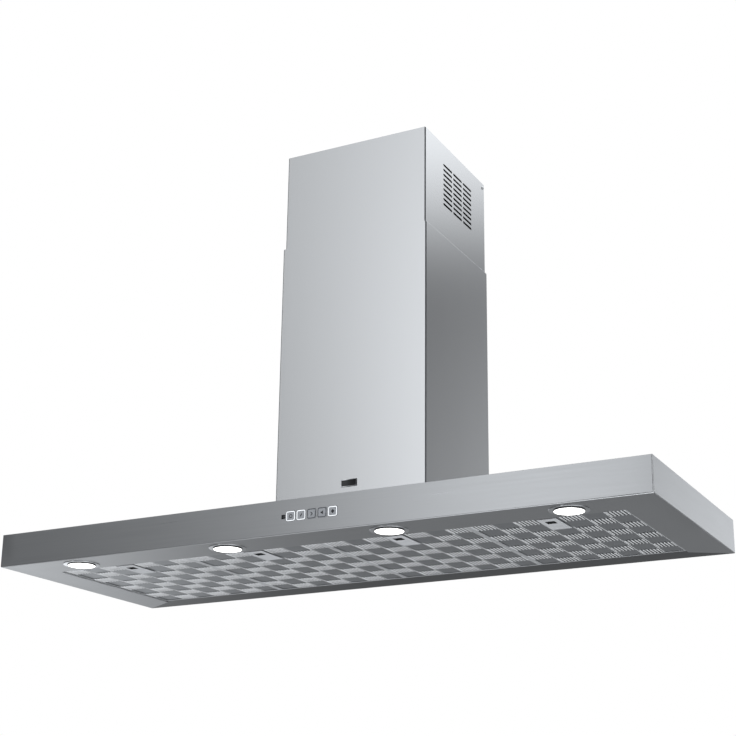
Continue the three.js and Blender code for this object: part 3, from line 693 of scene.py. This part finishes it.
# ---------------------------------------------------------------- grease filters
# Four filters hang side by side behind the lamps. Each is a steel channel frame round a pack of aluminium
# mesh, under a pressed screen whose squares are by turns plain and louvred, and a latch slides at its front.
SCREEN_COLUMNS = 7
SCREEN_ROWS = 8
LOUVRES = 6
LATCH_COLUMN = 3
LATCH_ROWS = 2
SEAM_HALF = 0.0009
SEAM_DROP = 0.0006
LOUVRE_SHARE = 0.44
LATCH_CLEAR = 0.6
LOUVRE_DROP = 0.0006
LOUVRE_CROWN = 0.0010
LAND = 0.0016
RAMP = 0.0024
SCREEN_THICK = 0.0005
PRESSED_BY = 0.0003

screen_steel = new_finish("screen_steel", (0.7, 0.71, 0.72), 0.34, 1.0)
screen_streaks = stretched_noise(screen_steel, (500, 40, 500))
shade_between(screen_steel, screen_streaks, (0.44, 0.45, 0.465), (0.58, 0.59, 0.60))
vary_roughness(screen_steel, screen_streaks, 0.28, 0.42)
# The pressed-down louvres and seams are painted much lighter than the flat sheet, as a painted highlight.
rib_steel_highlight = new_finish("pressed_rib_steel_painted_highlight", (0.95, 0.96, 0.97), 0.4, 0.5)
rib_streaks = stretched_noise(rib_steel_highlight, (700, 60, 700))
vary_roughness(rib_steel_highlight, rib_streaks, 0.32, 0.46)
frame_steel = new_finish("filter_frame_steel", (0.92, 0.93, 0.94), 0.42, 0.85)
frame_streaks = stretched_noise(frame_steel, (300, 30, 300))
vary_roughness(frame_steel, frame_streaks, 0.36, 0.5)
latch_steel = new_finish("latch_steel", (0.60, 0.61, 0.625), 0.5, 0.35)
vary_roughness(latch_steel, stretched_noise(latch_steel, (600, 60, 600)), 0.5, 0.62)
# The latch's faces above the pocket's depth are painted near black, as painted shade in the pocket.
pocket_painted_shade = new_finish("latch_pocket_painted_shade", (0.05, 0.052, 0.055), 0.5, 0.3)
vary_roughness(pocket_painted_shade, stretched_noise(pocket_painted_shade, (600, 600, 600)), 0.44, 0.6)

# The diamond cells are the mesh's own pattern; the mesh is painted far darker than bare aluminium, its cells
# near black, as painted shade seen through the screen's slots.
mesh_wire_painted_shade = new_finish("aluminium_mesh_painted_shade", (0.3, 0.31, 0.32), 0.5, 0.7)
place = add_node(mesh_wire_painted_shade, "ShaderNodeTexCoord")
diagonal = add_node(mesh_wire_painted_shade, "ShaderNodeMapping", {"Vector": place.outputs["Object"]})
diagonal.inputs["Rotation"].default_value = (0, 0, math.radians(45))
diagonal.inputs["Scale"].default_value = (330, 330, 330)
cells = add_node(mesh_wire_painted_shade, "ShaderNodeTexBrick", {"Vector": diagonal.outputs["Vector"]}, Scale=1.0)
cells.inputs["Color1"].default_value = (0.02, 0.02, 0.022, 1)
cells.inputs["Color2"].default_value = (0.04, 0.04, 0.042, 1)
cells.inputs["Mortar"].default_value = (0.20, 0.205, 0.21, 1)
cells.inputs["Mortar Size"].default_value = 0.09
mesh_wire_painted_shade.node_tree.links.new(cells.outputs["Color"], socket(mesh_wire_painted_shade, "Base Color"))
roughen(mesh_wire_painted_shade, cells.outputs["Fac"], 0.0008)


def column_lines(start, pitch):
    """Where the sheet is creased across a column: its seam, then the edges and crown of each louvre."""
    unit = (pitch - 2 * SEAM_HALF) / LOUVRES
    lines = [(start, "seam"), (start + SEAM_HALF, "land")]
    for k in range(LOUVRES):
        centre = start + SEAM_HALF + (k + 0.5) * unit
        half = unit * LOUVRE_SHARE / 2
        lines += [(centre - half, "edge"), (centre, "crown"), (centre + half, "edge")]
    lines.append((start + pitch - SEAM_HALF, "land"))
    return lines


def row_lines(start, pitch):
    """Where the sheet is creased along a row: its flat borders, and where the louvres' ends level out."""
    return [
        (start, "border"),
        (start + LAND, "border"),
        (start + LAND + RAMP, "body"),
        (start + pitch - LAND - RAMP, "body"),
        (start + pitch - LAND, "border"),
    ]


def pressed_screen(low, high):
    """The screen as an open sheet, its seams and louvres pressed down and the slots between them open."""
    column_pitch = (high.x - low.x) / SCREEN_COLUMNS
    row_pitch = (high.y - low.y) / SCREEN_ROWS
    across = []
    for column in range(SCREEN_COLUMNS):
        across += column_lines(low.x + column * column_pitch, column_pitch)
    across.append((high.x, "seam"))
    back = []
    for row in range(SCREEN_ROWS):
        back += row_lines(low.y + row * row_pitch, row_pitch)
    back.append((high.y, "border"))
    bm = bmesh.new()
    bmesh.ops.create_grid(bm, x_segments=len(across) - 1, y_segments=len(back) - 1, size=0.5)

    def louvred(x, y):
        column = min(int((x - low.x) / column_pitch), SCREEN_COLUMNS - 1)
        row = min(int((y - low.y) / row_pitch), SCREEN_ROWS - 1)
        under_latch = column == LATCH_COLUMN and row < LATCH_ROWS
        return (column + row) % 2 == 0 and not under_latch

    for vertex in bm.verts:
        x, kind_across = across[round((vertex.co.x + 0.5) * (len(across) - 1))]
        y, kind_back = back[round((vertex.co.y + 0.5) * (len(back) - 1))]
        inside = low.y + LAND < y < high.y - LAND
        from_latch = abs(x - (low.x + high.x) / 2)
        under_latch = from_latch < column_pitch * LATCH_CLEAR and y < low.y + LATCH_ROWS * row_pitch
        drop = 0
        if kind_across == "seam" and inside and low.x < x < high.x and not under_latch:
            drop = SEAM_DROP
        elif kind_back == "body" and kind_across in ("edge", "crown") and louvred(x, y):
            drop = LOUVRE_DROP + (LOUVRE_CROWN if kind_across == "crown" else 0)
        vertex.co = (x, y, low.z + SCREEN_THICK - drop)
    slots = []
    for face in bm.faces:
        centre = face.calc_center_median()
        if not louvred(centre.x, centre.y):
            continue
        offset = (centre.x - low.x) % column_pitch
        if offset < SEAM_HALF or offset > column_pitch - SEAM_HALF:
            continue
        unit = (column_pitch - 2 * SEAM_HALF) / LOUVRES
        from_crown = abs((offset - SEAM_HALF) % unit - unit / 2)
        along = (centre.y - low.y) % row_pitch
        if from_crown > unit * LOUVRE_SHARE / 2 and LAND < along < row_pitch - LAND:
            slots.append(face)
    bmesh.ops.delete(bm, geom=slots, context="FACES")
    # Faces pressed down, and the seams, take the painted highlight.
    pressed = low.z + SCREEN_THICK - PRESSED_BY
    for face in bm.faces:
        lowered = [v.co.z < pressed for v in face.verts]
        offset = (face.calc_center_median().x - low.x) % column_pitch
        in_seam = min(offset, column_pitch - offset) < SEAM_HALF
        face.material_index = 1 if all(lowered) or (in_seam and any(lowered)) else 0
    return bm


def give_thickness(bm, thickness):
    """Doubles an open sheet upwards into a closed one."""
    grown = bmesh.ops.extrude_face_region(bm, geom=bm.faces[:])
    raised = [g for g in grown["geom"] if isinstance(g, bmesh.types.BMVert)]
    bmesh.ops.translate(bm, verts=raised, vec=(0, 0, thickness))
    bmesh.ops.recalc_face_normals(bm, faces=bm.faces)


WELL_HALF = 0.0098
WELL_FRONT = 0.022
WELL_REAR = 0.048
POCKET_DEPTH = 0.0014
CHANNEL_EDGE = 0.00035
LATCH_EDGE = 0.00025
for i in range(1, 5):
    body = f"filter_{i}"
    low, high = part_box(f"filter_screen_{i}")
    screen = pressed_screen(low, high)
    latch_low, latch_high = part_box(f"filter_latch_{i}")
    latch_x = (latch_low.x + latch_high.x) / 2
    well = []
    for face in screen.faces:
        place = face.calc_center_median()
        behind_front = place.y - latch_low.y
        if abs(place.x - latch_x) < WELL_HALF and WELL_FRONT < behind_front < WELL_REAR:
            well.append(face)
    bmesh.ops.delete(screen, geom=well, context="FACES")
    give_thickness(screen, SCREEN_THICK)
    screen_steels = [screen_steel, rib_steel_highlight]
    screen_node = f"filter_screen_{i}"
    finish_piece(f"louvred_screen_{i}", screen, screen_steels, body, screen_node, smooth=60)

    channel = copy_of(f"filter_frame_{i}")
    round_edges(channel, sharp_edges(channel), CHANNEL_EDGE, 2)
    frame_node = f"filter_frame_{i}"
    finish_piece(f"filter_channel_{i}", channel, [frame_steel], body, frame_node, flat=True)
    finish_node(f"filter_mesh_{i}", mesh_wire_painted_shade)

    latch = copy_of(f"filter_latch_{i}")
    # Faces above the pocket's depth take the painted shade.
    for face in latch.faces:
        if face.calc_center_median().z > latch_low.z + POCKET_DEPTH:
            face.material_index = 1
    round_edges(latch, sharp_edges(latch), LATCH_EDGE, 2)
    latch_steels = [latch_steel, pocket_painted_shade]
    latch_node = f"filter_latch_{i}"
    finish_piece(f"sliding_latch_{i}", latch, latch_steels, f"latch_{i}", latch_node, flat=True)

# ---------------------------------------------------------------- wall bracket and side screws
# A galvanised strip on the wall carries the upper sleeve by one pan-head screw through each side.
galvanised = new_finish("galvanised_steel", (0.55, 0.56, 0.57), 0.45, 1.0)
place = add_node(galvanised, "ShaderNodeTexCoord")
spangle = add_node(galvanised, "ShaderNodeTexVoronoi", {"Vector": place.outputs["Object"]}, Scale=90.0)
shade_between(galvanised, spangle.outputs["Distance"], (0.46, 0.47, 0.48), (0.68, 0.69, 0.70))
vary_roughness(galvanised, spangle.outputs["Distance"], 0.35, 0.55)
finish_node("chimney_bracket", galvanised)

HEAD_THICK = 0.0014
HEAD_CROWN = 0.0008
SHANK_SHARE = 0.5
for side in ("left", "right"):
    node = f"chimney_screw_{side}"
    low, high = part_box(node)
    centre = (low + high) / 2
    head = (high.y - low.y) / 2
    inner = high.x if side == "left" else low.x
    length = high.x - low.x
    shank = head * SHANK_SHARE
    under_head = length - HEAD_THICK
    crown = [
        (head * math.sin(math.radians(a)), length - HEAD_CROWN * (1 - math.cos(math.radians(a))))
        for a in (90, 70, 50, 30)
    ]
    profile = [(0, 0), (shank, 0), (shank, under_head), (head, under_head)] + crown
    profile += [(head * 0.45, length - 0.0001), (head * 0.4, length - HEAD_CROWN), (0, length - HEAD_CROWN)]
    screw = turned(profile, (0, 0, 0), axis="X", steps=24)
    if side == "left":
        half_turn = Matrix.Rotation(math.pi, 3, "Z")
        bmesh.ops.rotate(screw, verts=screw.verts, cent=(0, 0, 0), matrix=half_turn)
    bmesh.ops.translate(screw, verts=screw.verts, vec=(inner, centre.y, centre.z))
    finish_piece(f"side_screw_{side}", screw, [chrome], "upper_chimney", node, smooth=50)

# ---------------------------------------------------------------- blower
# A galvanised box hangs on the wall inside the chimney. A double-inlet wheel turns inside a moulded casing
# in it, driven by a motor that a three-armed steel spider holds in one inlet.
moulded_grey = new_finish("moulded_grey", (0.045, 0.047, 0.05), 0.5)
grey_grain = stretched_noise(moulded_grey, (1200, 1200, 1200))
vary_roughness(moulded_grey, grey_grain, 0.45, 0.62)
roughen(moulded_grey, grey_grain, 0.0001, 0.5)
motor_enamel = new_finish("motor_enamel", (0.03, 0.031, 0.034), 0.35)
vary_roughness(motor_enamel, stretched_noise(motor_enamel, (300, 300, 300)), 0.28, 0.45)
for node in ("blower_box", "motor_spider", "fan_wheel"):
    finish_node(node, galvanised)
for node in ("scroll_left", "scroll_right", "outlet_collar", "air_deflector"):
    finish_node(node, moulded_grey)
for node in ("damper_flap_front", "damper_flap_rear"):
    finish_node(node, moulded_grey)
finish_node("motor", motor_enamel)
for node in ("motor_shaft", "damper_pin"):
    finish_node(node, chrome)
for node in ("terminal_box", "cable_gland"):
    finish_node(node, moulded_black)

# ---------------------------------------------------------------- foil hose
# A corrugated aluminium hose leads the air from the outlet collar up to the T piece. It is built at a
# single length and rides on no body, so it does not stretch as the upper sleeve slides.
foil = new_finish("aluminium_foil", (0.78, 0.79, 0.8), 0.28, 1.0)
foil_creases = stretched_noise(foil, (140, 140, 60))
vary_roughness(foil, foil_creases, 0.2, 0.42)
roughen(foil, foil_creases, 0.0015, 0.35)
RIB_PITCH = 0.0062
RIB_DEPTH = 0.0017
FOIL_THICK = 0.0003
STEPS_PER_RIB = 4
low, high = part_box("flex_hose")
hose_outer = (high.x - low.x) / 2
hose_bore = hose_outer - RIB_DEPTH
ribs = round((high.z - low.z) / RIB_PITCH)
outside = []
for k in range(ribs * STEPS_PER_RIB + 1):
    height = low.z + (high.z - low.z) * k / (ribs * STEPS_PER_RIB)
    swell = 0.5 - 0.5 * math.cos(2 * math.pi * k / STEPS_PER_RIB)
    outside.append((hose_bore + FOIL_THICK + (RIB_DEPTH - FOIL_THICK) * swell, height))
axis_y = (low.y + high.y) / 2
hose = turned(outside + [(hose_bore, high.z), (hose_bore, low.z)], ((low.x + high.x) / 2, axis_y, 0))
foil_hose = finish_piece("foil_hose", hose, [foil], None, "flex_hose", smooth=70)
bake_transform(foil_hose)

low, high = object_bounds()
